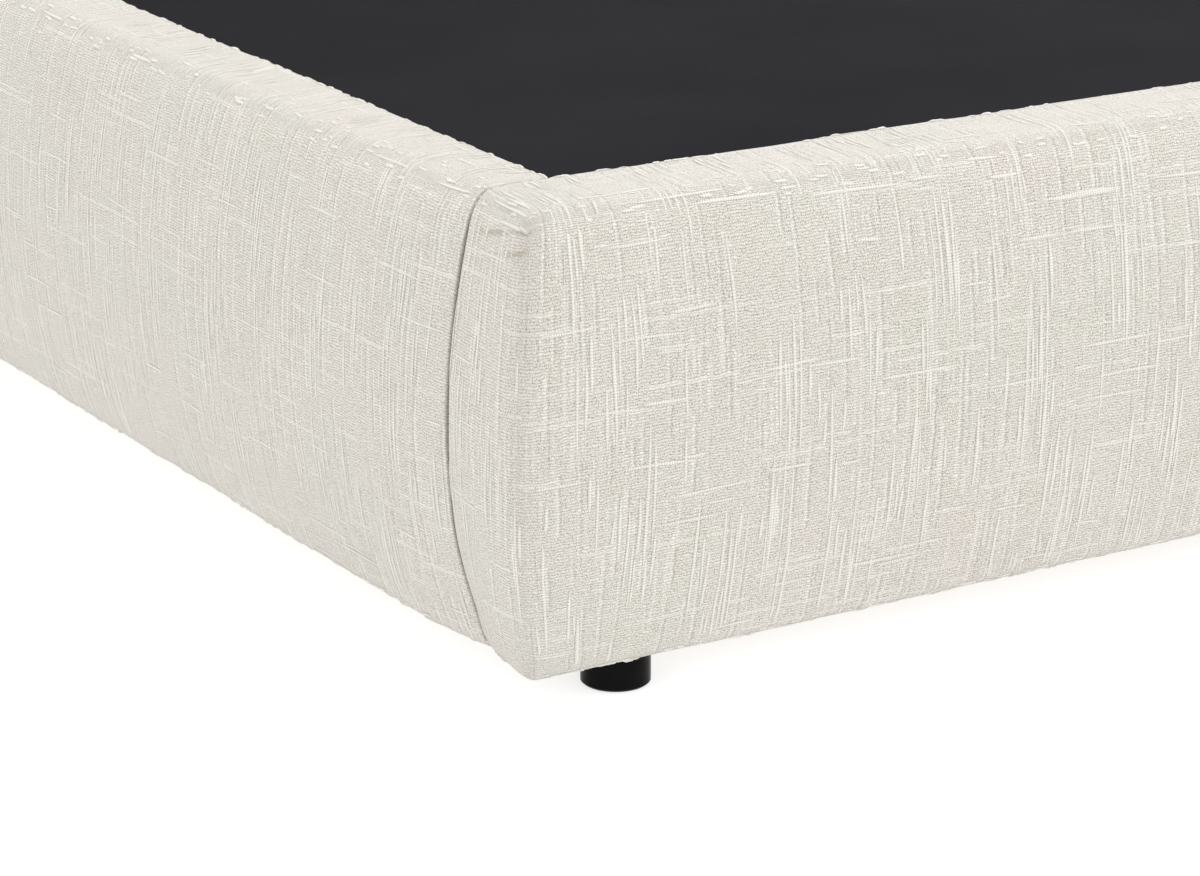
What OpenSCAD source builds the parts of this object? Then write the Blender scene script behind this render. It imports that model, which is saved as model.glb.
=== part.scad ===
// Low upholstered bed with thick padded rails and a padded headboard.
// X runs across the bed, the foot is at -Y, the head at +Y, and Z is up from the floor.

/* [Mattress] */
// Width of the mattress
mattress_w = 1524; // [900:1:1900]
// Length of the mattress
mattress_l = 2032; // [1850:1:2450]
// Gap left between the mattress and the bed on every side
mattress_gap = 13; // [6:1:30]
// Depth from the rail tops down to the deck
recess_d = 75; // [50:1:100]

/* [Padded rails] */
// Height of the rail tops above the floor
rail_top = 360; // [300:1:440]
// Clear height under the rails, which is the height of the feet
rail_low = 25; // [20:1:60]
// Thickness of a side rail at its fullest line
side_t = 89; // [76:1:120]
// Thickness of the foot rail at its fullest line
foot_t = 98; // [80:1:130]
// How far the padded face leans back in from its fullest line to its top and bottom edges
crown = 25; // [15:1:28]
// Padding at the fullest line, with the cover
pad_t = 39; // [34:1:45]
// Padding over the top and under the bottom of the boards, with the cover
edge_pad = 8; // [5:1:12]
// Thickness of the cover fabric
cover_t = 2; // [1:0.1:3]
// Radius of the outer top edge
top_r = 22; // [12:1:28]
// Radius of the outer bottom edge
low_r = 12; // [8:1:20]
// Radius of the edges next to the mattress
edge_r = 4; // [3.5:0.5:8]
// Radius of the two upright corners at the foot
corner_r = 18; // [10:1:30]
// Gap where a side rail meets the foot rail or the headboard
butt_gap = 1; // [0.5:0.5:3]

/* [Rail boards] */
// Thickness of the board next to the mattress
inner_board_t = 18; // [15:1:19]
// Thickness of the board behind the padding
outer_board_t = 12; // [9:1:15]
// Height of the battens between the two boards
batten_h = 30; // [24:1:45]
// Length of the blocks that close the foot rail box
end_block_l = 28; // [15:1:30]

/* [Headboard] */
// Height of the headboard above the floor
head_top = 1100; // [900:1:1400]
// Thickness of the headboard
head_t = 105; // [95:1:140]
// Padding on the two upright edges and the top edge, with the cover
head_pad = 22; // [15:1:35]
// Radius of the two top corners
head_corner_r = 45; // [30:1:90]
// Radius of the front edges
head_front_r = 28; // [20:1:35]
// Radius of the back edges
head_back_r = 10; // [6:1:15]
// Thickness of the timber frame
frame_t = 44; // [35:1:50]
// Thickness of the front panel
panel_t = 9; // [6:1:12]
// Width of a post
post_w = 120; // [110:1:150]
// Height of a cross rail
cross_h = 70; // [50:1:90]
// Width of the cover's hem round the back cloth
hem_w = 40; // [25:1:60]

/* [Deck] */
// Thickness of a deck panel
deck_t = 12; // [9:1:18]
// Thickness of the felt on the deck
felt_t = 2; // [1.5:0.5:4]
// Width of a slat
slat_w = 70; // [50:1:100]
// Thickness of a slat
slat_t = 20; // [15:1:28]
// Distance from one slat to the next
slat_pitch = 290; // [230:1:300]
// How far a ledger stands out from its board
ledger_w = 30; // [24:1:40]
// Height of a side ledger
ledger_h = 35; // [25:1:40]
// Gap between the deck and the rails
deck_gap = 3; // [2:1:8]
// Radius of a slat screw's shank
slat_screw_r = 2; // [1.5:0.25:2.5]
// Length of a slat screw
slat_screw_l = 40; // [35:1:50]

/* [Centre beam and legs] */
// Width of the centre beam
beam_w = 60; // [45:1:80]
// Height of the centre beam
beam_h = 80; // [60:1:90]
// Width of a centre leg
leg_w = 50; // [40:1:70]
// Distance from one centre leg to the next
leg_pitch = 560; // [400:1:650]
// Gap between a centre leg and the floor, taken up by its leveller
leg_clear = 21; // [18:1:30]
// Radius of a leveller's glide
glide_r = 20; // [15:1:24]
// Thickness of a leveller's glide
glide_h = 10; // [8:1:11]
// Length of a leveller's stud
stud_l = 40; // [35:1:50]
// Length of the threaded insert in a centre leg
insert_l = 25; // [20:1:28]
// Outside radius of the threaded insert in a centre leg
insert_r = 6; // [5.5:0.5:8]
// Depth that the leg dowel bolts reach into the leg and into the beam
dowel_l = 30; // [20:1:40]

/* [Feet] */
// Radius of a foot
foot_r = 25; // [20:1:30]
// From the side rails' inner faces in to the middle of a foot
foot_in_x = 28.4; // [25:0.1:40]
// From the foot rail's inner face out to the middle of a foot
foot_in_y = 38.5; // [30:0.1:42]
// Radius of the screw that holds a foot
foot_screw_r = 3; // [2.5:0.25:3.5]
// Radius of the screw's head
foot_head_r = 8; // [6:0.5:10]

/* [Steel fittings] */
// Length of each leg of a corner bracket
bracket_l = 50; // [45:1:60]
// Height of a corner bracket
bracket_h = 110; // [90:1:120]
// Thickness of the steel
steel_t = 4; // [2:0.5:5]
// Distance between the two bolts in a bracket's leg
bolt_pitch = 60; // [50:1:70]
// Radius of the machine bolts
bolt_r = 4; // [3:0.5:4]
// Radius of a bolt's head
bolt_head_r = 7; // [6:0.5:8]
// Thickness of a bolt's head
bolt_head_h = 4; // [3:0.5:5]
// Radius of a tee nut's barrel
nut_r = 5.5; // [5.5:0.25:6]
// Radius of a tee nut's flange
nut_flange_r = 10; // [9:0.5:12]
// Width of a beam hanger's wing beside the beam
wing_w = 26; // [24:1:35]
// Depth of a beam hanger's seat
seat_d = 60; // [40:1:80]

/* [Hidden] */

$fn = 48;
fit_gap = 0.05;  // radial gap round a pin, a bolt or an insert in its bore
cut = 1;         // how far a cutting shape runs past the face it opens

// Plan: the mattress space, and the bed round it with the origin in the middle of its box.
x_in = mattress_w / 2 + mattress_gap;
x_out = x_in + side_t;
bed_l = foot_t + mattress_l + 2 * mattress_gap + head_t;
y_foot_out = -bed_l / 2;
y_foot_in = y_foot_out + foot_t;
y_head_out = bed_l / 2;
y_head_in = y_head_out - head_t;
y_mid = (y_foot_in + y_head_in) / 2;

// The bare faces of the inner boards, which the steel and the ledgers are fixed to.
x_board = x_in + cover_t;
y_foot_board = y_foot_in - cover_t;
y_head_board = y_head_in + cover_t;

// Heights.
board_low = rail_low + edge_pad;
board_top = rail_top - edge_pad;
deck_top = rail_top - recess_d;
panel_z = deck_top - felt_t - deck_t;
slat_z = panel_z - slat_t;
ledger_z = slat_z - ledger_h;
beam_z = slat_z - beam_h;
hem_z = panel_z + 4;
low_hem_z = board_low + batten_h;
bracket_z = low_hem_z + 10;
bolt_z = [for (s = [-1, 1]) bracket_z + bracket_h / 2 + s * bolt_pitch / 2];
hanger_bolt_z = beam_z + beam_h / 2;

// Boxes inside the padding.
side_box_t = side_t - pad_t;
foot_box_t = foot_t - pad_t;
foot_box_x = x_in + side_box_t;
head_box_x = x_out - head_pad;
head_box_top = head_top - head_pad;
frame_y = y_head_out - cover_t - frame_t;
panel_y = frame_y - panel_t;
lower_board_top = board_top - 20;
lower_board_x = min(head_box_x, x_out - head_front_r);

// Bolts: [distance along the leg from the corner's board faces].
bolt_along = bracket_l / 2 + steel_t / 2;
hanger_bolt_x = beam_w / 2 + steel_t + wing_w / 2;
bolt_l = steel_t + inner_board_t + 6;

leg_ys = [for (i = [-1:1]) y_mid + i * leg_pitch];
foot_x = x_in - foot_in_x;
foot_y = y_foot_in - foot_in_y;
head_foot_y = y_head_out - foot_r - cover_t;
foot_screw_top = board_low + batten_h - 5;
slat_screw_x = x_board - ledger_w / 2;
slat_ys = [for (i = [-3:3]) y_mid + i * slat_pitch];

// Points along an arc about c, from angle a0 to angle a1 in n steps, with or without its ends.
function arc(c, r, a0, a1, n, ends = true) =
    [for (i = [(ends ? 0 : 1):(ends ? n : n - 1)])
        let (a = a0 + (a1 - a0) * i / n) c + r * [cos(a), sin(a)]];

// The padded face of a rail of thickness t, from its bottom edge round to its top edge:
// the first coordinate is the distance out from the mattress side, the second the height.
function padded_face(t, inset) =
    let (
        half = (rail_top - rail_low) / 2,
        mid = rail_low + half,
        r = (half * half + crown * crown) / (2 * crown),
        c = [t - r, mid],
        low_c = [c.x + sqrt(pow(r - low_r, 2) - pow(half - low_r, 2)), rail_low + low_r],
        top_c = [c.x + sqrt(pow(r - top_r, 2) - pow(half - top_r, 2)), rail_top - top_r],
        low_a = atan2(low_c.y - mid, low_c.x - c.x),
        top_a = atan2(top_c.y - mid, top_c.x - c.x)
    )
    concat(
        arc(low_c, low_r - inset, -90, low_a, 4),
        arc(c, r - inset, low_a, top_a, 14, ends = false),
        arc(top_c, top_r - inset, top_a, 90, 6));

// The whole section of a rail.
function rail_section(t, inset) =
    concat(
        arc([edge_r, rail_low + edge_r], edge_r - inset, 180, 270, 3),
        padded_face(t, inset),
        arc([edge_r, rail_top - edge_r], edge_r - inset, 90, 180, 3));

// The foot rail seen from the foot: a padded face at each end.
function foot_front_view(inset) =
    let (face = padded_face(side_t, inset), n = len(face))
    concat(
        [for (p = face) [x_in + p.x, p.y]],
        [for (i = [n - 1:-1:0]) [-x_in - face[i].x, face[i].y]]);

// A rectangle from lo to hi with its own radius at each corner, from the lower left round.
function round_box(lo, hi, r) =
    concat(
        arc([lo.x + r[0], lo.y + r[0]], r[0], 180, 270, 6),
        arc([hi.x - r[1], lo.y + r[1]], r[1], 270, 360, 6),
        arc([hi.x - r[2], hi.y - r[2]], r[2], 0, 90, 6),
        arc([lo.x + r[3], hi.y - r[3]], r[3], 90, 180, 6));

module box(lo, hi) { translate(lo) cube(hi - lo); }

// A cylinder that starts at p and runs for l along X, Y or Z (negative l runs back).
module rod_x(p, r, l) { translate(l < 0 ? p + [l, 0, 0] : p) rotate([0, 90, 0]) cylinder(r = r, h = abs(l)); }
module rod_y(p, r, l) { translate(l < 0 ? p : p + [0, l, 0]) rotate([90, 0, 0]) cylinder(r = r, h = abs(l)); }
module rod_z(p, r, l) { translate(p) cylinder(r = r, h = l); }

module mirrored() { mirror([1, 0, 0]) children(); }

// Extrudes a rail section along Y on the right of the bed, between the foot rail and headboard.
module along_side(y0, y1) {
    translate([x_in, y1, 0]) rotate([90, 0, 0]) linear_extrude(y1 - y0) children();
}

side_y0 = y_foot_in + butt_gap;
side_y1 = y_head_in - butt_gap;

// Bolt places on the right side rail's board, and on a board across the foot or the head.
side_bolts = [for (y = [y_foot_board + bolt_along, y_head_board - bolt_along], z = bolt_z) [y, z]];
end_bolts = [for (s = [-1, 1], z = bolt_z) [s * (x_board - bolt_along), z]];
hanger_bolts = [for (s = [-1, 1]) [s * hanger_bolt_x, hanger_bolt_z]];

// ---- Side rails, drawn on the right and mirrored for the left ----

module side_inner_board() {
    difference() {
        box([x_board, side_y0, board_low], [x_board + inner_board_t, side_y1, board_top]);
        for (b = side_bolts)
            rod_x([x_board - cut, b[0], b[1]], nut_r + fit_gap, inner_board_t + 2 * cut);
    }
}

module side_outer_board() {
    box([x_in + side_box_t - outer_board_t, side_y0, board_low],
        [x_in + side_box_t, side_y1, board_top]);
}

module side_battens() {
    for (z = [board_low, board_top - batten_h])
        box([x_board + inner_board_t, side_y0, z],
            [x_in + side_box_t - outer_board_t, side_y1, z + batten_h]);
}

module side_foam() {
    difference() {
        along_side(side_y0, side_y1) polygon(rail_section(side_t, cover_t));
        box([x_in, side_y0 - cut, board_low], [x_in + side_box_t, side_y1 + cut, board_top]);
    }
}

module side_cover() {
    difference() {
        along_side(side_y0, side_y1) polygon(rail_section(side_t, 0));
        along_side(side_y0 - cut, side_y1 + cut) polygon(rail_section(side_t, cover_t));
        box([x_in - cut, side_y0 - cut, low_hem_z], [x_board, side_y1 + cut, slat_z + 4]);
    }
}

module side_ledger() {
    difference() {
        box([x_board - ledger_w, side_y0, ledger_z], [x_board, side_y1, slat_z]);
        for (y = slat_ys)
            rod_z([slat_screw_x, y, panel_z - slat_screw_l], slat_screw_r + fit_gap, slat_screw_l);
    }
}

module left_rail_inner_board() { color("burlywood") mirrored() side_inner_board(); }
module left_rail_outer_board() { color("burlywood") mirrored() side_outer_board(); }
module left_rail_battens() { color("wheat") mirrored() side_battens(); }
module left_rail_foam() { color("khaki") mirrored() side_foam(); }
module left_rail_cover() { color("antiquewhite") mirrored() side_cover(); }
module left_ledger() { color("wheat") mirrored() side_ledger(); }
module right_rail_inner_board() { color("burlywood") side_inner_board(); }
module right_rail_outer_board() { color("burlywood") side_outer_board(); }
module right_rail_battens() { color("wheat") side_battens(); }
module right_rail_foam() { color("khaki") side_foam(); }
module right_rail_cover() { color("antiquewhite") side_cover(); }
module right_ledger() { color("wheat") side_ledger(); }

// ---- Foot rail: it runs the full width and its padding turns both corners ----

module foot_body(inset) {
    intersection() {
        translate([x_out, y_foot_in, 0]) rotate([90, 0, -90])
            linear_extrude(2 * x_out) polygon(rail_section(foot_t, inset));
        translate([0, y_foot_in + cut, 0]) rotate([90, 0, 0])
            linear_extrude(foot_t + 2 * cut) polygon(foot_front_view(inset));
        linear_extrude(rail_top)
            polygon(round_box([-x_out + inset, y_foot_out + inset],
                              [x_out - inset, y_foot_in + cut],
                              [corner_r - inset, corner_r - inset, cut, cut]));
    }
}

module foot_screw_holes(r) {
    for (s = [-1, 1], y = [foot_y, head_foot_y])
        rod_z([s * foot_x, y, rail_low - cut], r, foot_screw_top - rail_low + cut);
}

module foot_rail_inner_board() {
    color("burlywood") difference() {
        box([-foot_box_x, y_foot_board - inner_board_t, board_low],
            [foot_box_x, y_foot_board, board_top]);
        for (b = concat(end_bolts, hanger_bolts))
            rod_y([b[0], y_foot_board + cut, b[1]], nut_r + fit_gap, -inner_board_t - 2 * cut);
    }
}

module foot_rail_outer_board() {
    color("burlywood") box([-foot_box_x, y_foot_in - foot_box_t, board_low],
        [foot_box_x, y_foot_in - foot_box_t + outer_board_t, board_top]);
}

// The long battens at the top and bottom of the box, and the blocks that close its ends.
module foot_rail_battens() {
    y0 = y_foot_in - foot_box_t + outer_board_t;
    y1 = y_foot_board - inner_board_t;
    color("wheat") difference() {
        union() {
            for (z = [board_low, board_top - batten_h])
                box([-foot_box_x, y0, z], [foot_box_x, y1, z + batten_h]);
            for (s = [-1, 1])
                translate([s * (foot_box_x - end_block_l / 2), y0, board_low + batten_h + fit_gap])
                    translate([-end_block_l / 2, 0, 0])
                        cube([end_block_l, y1 - y0, board_top - board_low - 2 * (batten_h + fit_gap)]);
        }
        foot_screw_holes(foot_screw_r + fit_gap);
    }
}

module foot_rail_foam() {
    color("khaki") difference() {
        foot_body(cover_t);
        box([-foot_box_x, y_foot_in - foot_box_t, board_low], [foot_box_x, y_foot_in + cut, board_top]);
        foot_screw_holes(foot_screw_r + fit_gap);
    }
}

module foot_rail_cover() {
    color("antiquewhite") difference() {
        foot_body(0);
        foot_body(cover_t);
        box([-x_board, y_foot_board, low_hem_z], [x_board, y_foot_in + cut, hem_z]);
        foot_screw_holes(foot_screw_r + fit_gap);
    }
}

module foot_ledger() {
    color("wheat") box([-x_in + deck_gap, y_foot_board, slat_z],
        [x_in - deck_gap, y_foot_board + ledger_w, panel_z]);
}

// ---- Headboard ----

module head_body(inset) {
    soft = [head_front_r, head_front_r, head_back_r, head_back_r];
    intersection() {
        translate([-x_out, 0, 0]) rotate([90, 0, 90]) linear_extrude(2 * x_out)
            polygon(round_box([y_head_in + inset, rail_low + inset],
                              [y_head_out - inset, head_top - inset],
                              [edge_r - inset, edge_r - inset,
                               head_back_r - inset, head_front_r - inset]));
        translate([0, y_head_out, 0]) rotate([90, 0, 0]) linear_extrude(head_t)
            polygon(round_box([-x_out + inset, rail_low + inset], [x_out - inset, head_top - inset],
                              [edge_r - inset, edge_r - inset,
                               head_corner_r - inset, head_corner_r - inset]));
        linear_extrude(head_top)
            polygon(round_box([-x_out + inset, y_head_in + inset], [x_out - inset, y_head_out - inset],
                              [for (r = soft) r - inset]));
    }
}

module headboard_post() {
    difference() {
        box([head_box_x - post_w, frame_y, board_low], [head_box_x, frame_y + frame_t, head_box_top]);
        foot_screw_holes(foot_screw_r + fit_gap);
    }
}

module headboard_cross_rail(z) {
    box([post_w - head_box_x, frame_y, z], [head_box_x - post_w, frame_y + frame_t, z + cross_h]);
}

module headboard_left_post() { color("wheat") mirrored() headboard_post(); }
module headboard_right_post() { color("wheat") headboard_post(); }
module headboard_top_rail() { color("wheat") headboard_cross_rail(head_box_top - cross_h); }
module headboard_middle_rail() {
    color("wheat") headboard_cross_rail((board_low + head_box_top - cross_h) / 2);
}
module headboard_bottom_rail() { color("wheat") headboard_cross_rail(board_low); }

module headboard_front_panel() {
    color("burlywood") box([-head_box_x, panel_y, board_low], [head_box_x, frame_y, head_box_top]);
}

// The board below the mattress line that the side rails and the beam are bolted to.
module headboard_lower_board() {
    color("burlywood") difference() {
        box([-lower_board_x, y_head_board, board_low],
            [lower_board_x, y_head_board + inner_board_t, lower_board_top]);
        for (b = concat(end_bolts, hanger_bolts))
            rod_y([b[0], y_head_board - cut, b[1]], nut_r + fit_gap, inner_board_t + 2 * cut);
    }
}

module headboard_spacers() {
    color("wheat")
        for (z = [board_low, lower_board_top - batten_h])
            box([-lower_board_x, y_head_board + inner_board_t, z],
                [lower_board_x, panel_y, z + batten_h]);
}

module headboard_foam() {
    color("khaki") difference() {
        head_body(cover_t);
        box([-head_box_x, panel_y, board_low], [head_box_x, y_head_out, head_box_top]);
        box([-lower_board_x, y_head_in, board_low],
            [lower_board_x, panel_y + cut, lower_board_top]);
        foot_screw_holes(foot_screw_r + fit_gap);
    }
}

module back_opening(gap) {
    box([-x_out + hem_w + gap, y_head_out - cover_t, rail_low + hem_w + gap],
        [x_out - hem_w - gap, y_head_out + (gap > 0 ? 0 : cut), head_top - hem_w - gap]);
}

module headboard_cover() {
    color("antiquewhite") difference() {
        head_body(0);
        head_body(cover_t);
        back_opening(0);
        box([-x_board, y_head_in - cut, low_hem_z], [x_board, y_head_board, hem_z]);
        foot_screw_holes(foot_screw_r + fit_gap);
    }
}

module headboard_back_cloth() { color("dimgray") back_opening(0.5); }

module head_ledger() {
    color("wheat") box([-x_in + deck_gap, y_head_board - ledger_w, slat_z],
        [x_in - deck_gap, y_head_board, panel_z]);
}

// ---- Steel fittings ----

// A bracket in the corner where the right side rail meets the foot rail.
module corner_bracket() {
    lo = [x_board - bracket_l, y_foot_board, bracket_z];
    difference() {
        union() {
            box(lo, [x_board, y_foot_board + steel_t, bracket_z + bracket_h]);
            box([x_board - steel_t, y_foot_board, bracket_z],
                [x_board, y_foot_board + bracket_l, bracket_z + bracket_h]);
        }
        for (z = bolt_z) {
            rod_y([x_board - bolt_along, y_foot_board - cut, z], bolt_r + fit_gap, steel_t + 2 * cut);
            rod_x([x_board + cut, y_foot_board + bolt_along, z], bolt_r + fit_gap, -steel_t - 2 * cut);
        }
    }
}

// Moves what is drawn at the foot to the head, turned to face the foot.
module at_head() { translate([0, 2 * y_mid, 0]) mirror([0, 1, 0]) children(); }

module bracket_foot_right() { color("dimgray") corner_bracket(); }
module bracket_foot_left() { color("dimgray") mirrored() corner_bracket(); }
module bracket_head_right() { color("dimgray") at_head() corner_bracket(); }
module bracket_head_left() { color("dimgray") mirrored() at_head() corner_bracket(); }

// A bolt along -Y with its head on the inside of the steel.
module end_bolt(x, z) {
    y = y_foot_board + steel_t;
    rod_y([x, y, z], bolt_r, -bolt_l);
    rod_y([x, y, z], bolt_head_r, bolt_head_h);
}

module side_bolt(y, z) {
    x = x_board - steel_t;
    rod_x([x, y, z], bolt_r, bolt_l);
    rod_x([x, y, z], bolt_head_r, -bolt_head_h);
}

module bracket_bolts() {
    color("silver") {
        for (b = end_bolts) {
            end_bolt(b[0], b[1]);
            at_head() end_bolt(b[0], b[1]);
        }
        for (b = side_bolts) {
            side_bolt(b[0], b[1]);
            mirrored() side_bolt(b[0], b[1]);
        }
    }
}

module beam_hanger_bolts() {
    color("silver")
        for (b = hanger_bolts) {
            end_bolt(b[0], b[1]);
            at_head() end_bolt(b[0], b[1]);
        }
}

// A tee nut's barrel fills its hole in the board, and its flange is on the board's far face.
module tee_nut(l) {
    difference() {
        union() {
            cylinder(r = nut_r, h = l);
            translate([0, 0, l]) cylinder(r = nut_flange_r, h = 2);
        }
        translate([0, 0, -cut]) cylinder(r = bolt_r + fit_gap, h = l + 4 * cut);
    }
}

module tee_nuts() {
    color("silver") {
        for (b = concat(end_bolts, hanger_bolts)) {
            translate([b[0], y_foot_board, b[1]]) rotate([90, 0, 0]) tee_nut(inner_board_t);
            at_head() translate([b[0], y_foot_board, b[1]]) rotate([90, 0, 0]) tee_nut(inner_board_t);
        }
        for (b = side_bolts) {
            translate([x_board, b[0], b[1]]) rotate([0, 90, 0]) tee_nut(inner_board_t);
            mirrored() translate([x_board, b[0], b[1]]) rotate([0, 90, 0]) tee_nut(inner_board_t);
        }
    }
}

// A folded steel stirrup: a back plate with two wings, a seat and two cheeks.
module beam_hanger() {
    half = beam_w / 2 + fit_gap;
    wing = half + steel_t + wing_w;
    difference() {
        union() {
            box([-wing, y_foot_board, beam_z - steel_t], [wing, y_foot_board + steel_t, slat_z]);
            box([-half - steel_t, y_foot_board, beam_z - steel_t],
                [half + steel_t, y_foot_board + seat_d, beam_z]);
            for (s = [-1, 1])
                box([min(s * half, s * (half + steel_t)), y_foot_board, beam_z - steel_t],
                    [max(s * half, s * (half + steel_t)), y_foot_board + seat_d,
                     beam_z + beam_h * 3 / 4]);
        }
        for (b = hanger_bolts)
            rod_y([b[0], y_foot_board - cut, b[1]], bolt_r + fit_gap, steel_t + 2 * cut);
    }
}

module beam_hanger_foot() { color("dimgray") beam_hanger(); }
module beam_hanger_head() { color("dimgray") at_head() beam_hanger(); }

// ---- Centre beam, legs and levellers ----

module centre_beam() {
    color("wheat") difference() {
        box([-beam_w / 2, y_foot_board + steel_t + butt_gap, beam_z],
            [beam_w / 2, y_head_board - steel_t - butt_gap, slat_z]);
        for (y = leg_ys)
            rod_z([0, y, beam_z - cut], bolt_r + fit_gap, dowel_l + 2 * cut);
    }
}

module centre_leg(y) {
    difference() {
        box([-leg_w / 2, y - leg_w / 2, leg_clear], [leg_w / 2, y + leg_w / 2, beam_z]);
        rod_z([0, y, leg_clear - cut], insert_r + fit_gap, insert_l + cut);
        rod_z([0, y, leg_clear], bolt_r + 1, stud_l);
        rod_z([0, y, beam_z - dowel_l - cut], bolt_r + fit_gap, dowel_l + 2 * cut);
    }
}

module leg_inserts() {
    color("silver")
        for (y = leg_ys)
            difference() {
                rod_z([0, y, leg_clear], insert_r, insert_l);
                rod_z([0, y, leg_clear - cut], bolt_r, insert_l + 2 * cut);
            }
}

module leg_dowel_bolts() {
    color("silver") for (y = leg_ys) rod_z([0, y, beam_z - dowel_l], bolt_r, 2 * dowel_l);
}

// A glide with a chamfered edge on a threaded stud.
module leveller(y) {
    translate([0, y, 0]) rotate_extrude()
        polygon([
            [0, 0], [glide_r - 1.5, 0], [glide_r, 1.5], [glide_r, glide_h - 3],
            [glide_r - 3, glide_h], [bolt_r - fit_gap, glide_h],
            [bolt_r - fit_gap, glide_h + stud_l], [0, glide_h + stud_l]
        ]);
}

module centre_leg_foot() { color("wheat") centre_leg(leg_ys[0]); }
module centre_leg_middle() { color("wheat") centre_leg(leg_ys[1]); }
module centre_leg_head() { color("wheat") centre_leg(leg_ys[2]); }
module leveller_foot() { color("dimgray") leveller(leg_ys[0]); }
module leveller_middle() { color("dimgray") leveller(leg_ys[1]); }
module leveller_head() { color("dimgray") leveller(leg_ys[2]); }

// ---- Corner feet ----

foot_recess_h = rail_low * 2 / 5;

module bed_foot(s, y) {
    translate([s * foot_x, y, 0]) rotate_extrude()
        polygon([
            [foot_head_r + 1, 0], [foot_r - 1.5, 0], [foot_r, 1.5], [foot_r, rail_low],
            [foot_screw_r + fit_gap, rail_low], [foot_screw_r + fit_gap, foot_recess_h],
            [foot_head_r + 1, foot_recess_h]
        ]);
}

module foot_front_left() { color("black") bed_foot(-1, foot_y); }
module foot_front_right() { color("black") bed_foot(1, foot_y); }
module foot_back_left() { color("black") bed_foot(-1, head_foot_y); }
module foot_back_right() { color("black") bed_foot(1, head_foot_y); }

module foot_screws() {
    color("silver")
        for (s = [-1, 1], y = [foot_y, head_foot_y]) {
            rod_z([s * foot_x, y, foot_recess_h - 3], foot_head_r, 3);
            rod_z([s * foot_x, y, foot_recess_h - 3], foot_screw_r, foot_screw_top - foot_recess_h + 2);
        }
}

// ---- Deck ----

module slat(y) {
    difference() {
        box([-x_in + deck_gap, y - slat_w / 2, slat_z], [x_in - deck_gap, y + slat_w / 2, panel_z]);
        for (s = [-1, 1]) {
            rod_z([s * slat_screw_x, y, slat_z - cut], slat_screw_r + fit_gap, slat_t + 2 * cut);
            rod_z([s * slat_screw_x, y, panel_z - 3], 2 * slat_screw_r + fit_gap, 3 + cut);
        }
    }
}

module slats_foot_half() { color("burlywood") for (i = [0:2]) slat(slat_ys[i]); }
module slats_head_half() { color("burlywood") for (i = [3:6]) slat(slat_ys[i]); }

module slat_screws() {
    color("silver")
        for (s = [-1, 1], y = slat_ys) {
            rod_z([s * slat_screw_x, y, panel_z - slat_screw_l], slat_screw_r, slat_screw_l - 1);
            rod_z([s * slat_screw_x, y, panel_z - 3], 2 * slat_screw_r, 2.5);
        }
}

// The deck is in two halves that meet on the middle slat.
module deck_sheet(y0, y1, z, t, gap) {
    box([-x_in + gap, y0, z], [x_in - gap, y1, z + t]);
}

module deck_panel_foot() {
    color("burlywood") deck_sheet(y_foot_in + deck_gap, y_mid - 0.5, panel_z, deck_t, deck_gap);
}
module deck_panel_head() {
    color("burlywood") deck_sheet(y_mid + 0.5, y_head_in - deck_gap, panel_z, deck_t, deck_gap);
}
module deck_felt_foot() {
    color("darkslategray") deck_sheet(y_foot_in + 1, y_mid - 0.25, deck_top - felt_t, felt_t, 1);
}
module deck_felt_head() {
    color("darkslategray") deck_sheet(y_mid + 0.25, y_head_in - 1, deck_top - felt_t, felt_t, 1);
}

headboard_left_post();
headboard_right_post();
headboard_top_rail();
headboard_middle_rail();
headboard_bottom_rail();
headboard_front_panel();
headboard_lower_board();
headboard_spacers();
headboard_foam();
headboard_cover();
headboard_back_cloth();
left_rail_inner_board();
left_rail_outer_board();
left_rail_battens();
left_rail_foam();
left_rail_cover();
left_ledger();
right_rail_inner_board();
right_rail_outer_board();
right_rail_battens();
right_rail_foam();
right_rail_cover();
right_ledger();
foot_rail_inner_board();
foot_rail_outer_board();
foot_rail_battens();
foot_rail_foam();
foot_rail_cover();
foot_ledger();
head_ledger();
bracket_foot_left();
bracket_foot_right();
bracket_head_left();
bracket_head_right();
bracket_bolts();
tee_nuts();
centre_beam();
beam_hanger_foot();
beam_hanger_head();
beam_hanger_bolts();
centre_leg_foot();
centre_leg_middle();
centre_leg_head();
leg_inserts();
leg_dowel_bolts();
leveller_foot();
leveller_middle();
leveller_head();
foot_front_left();
foot_front_right();
foot_back_left();
foot_back_right();
foot_screws();
slats_foot_half();
slats_head_half();
slat_screws();
deck_panel_foot();
deck_panel_head();
deck_felt_foot();
deck_felt_head();
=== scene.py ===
import math
import random

import bpy
import numpy as np
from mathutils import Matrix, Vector, noise
from mathutils.bvhtree import BVHTree
from mathutils.interpolate import poly_3d_calc


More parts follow.
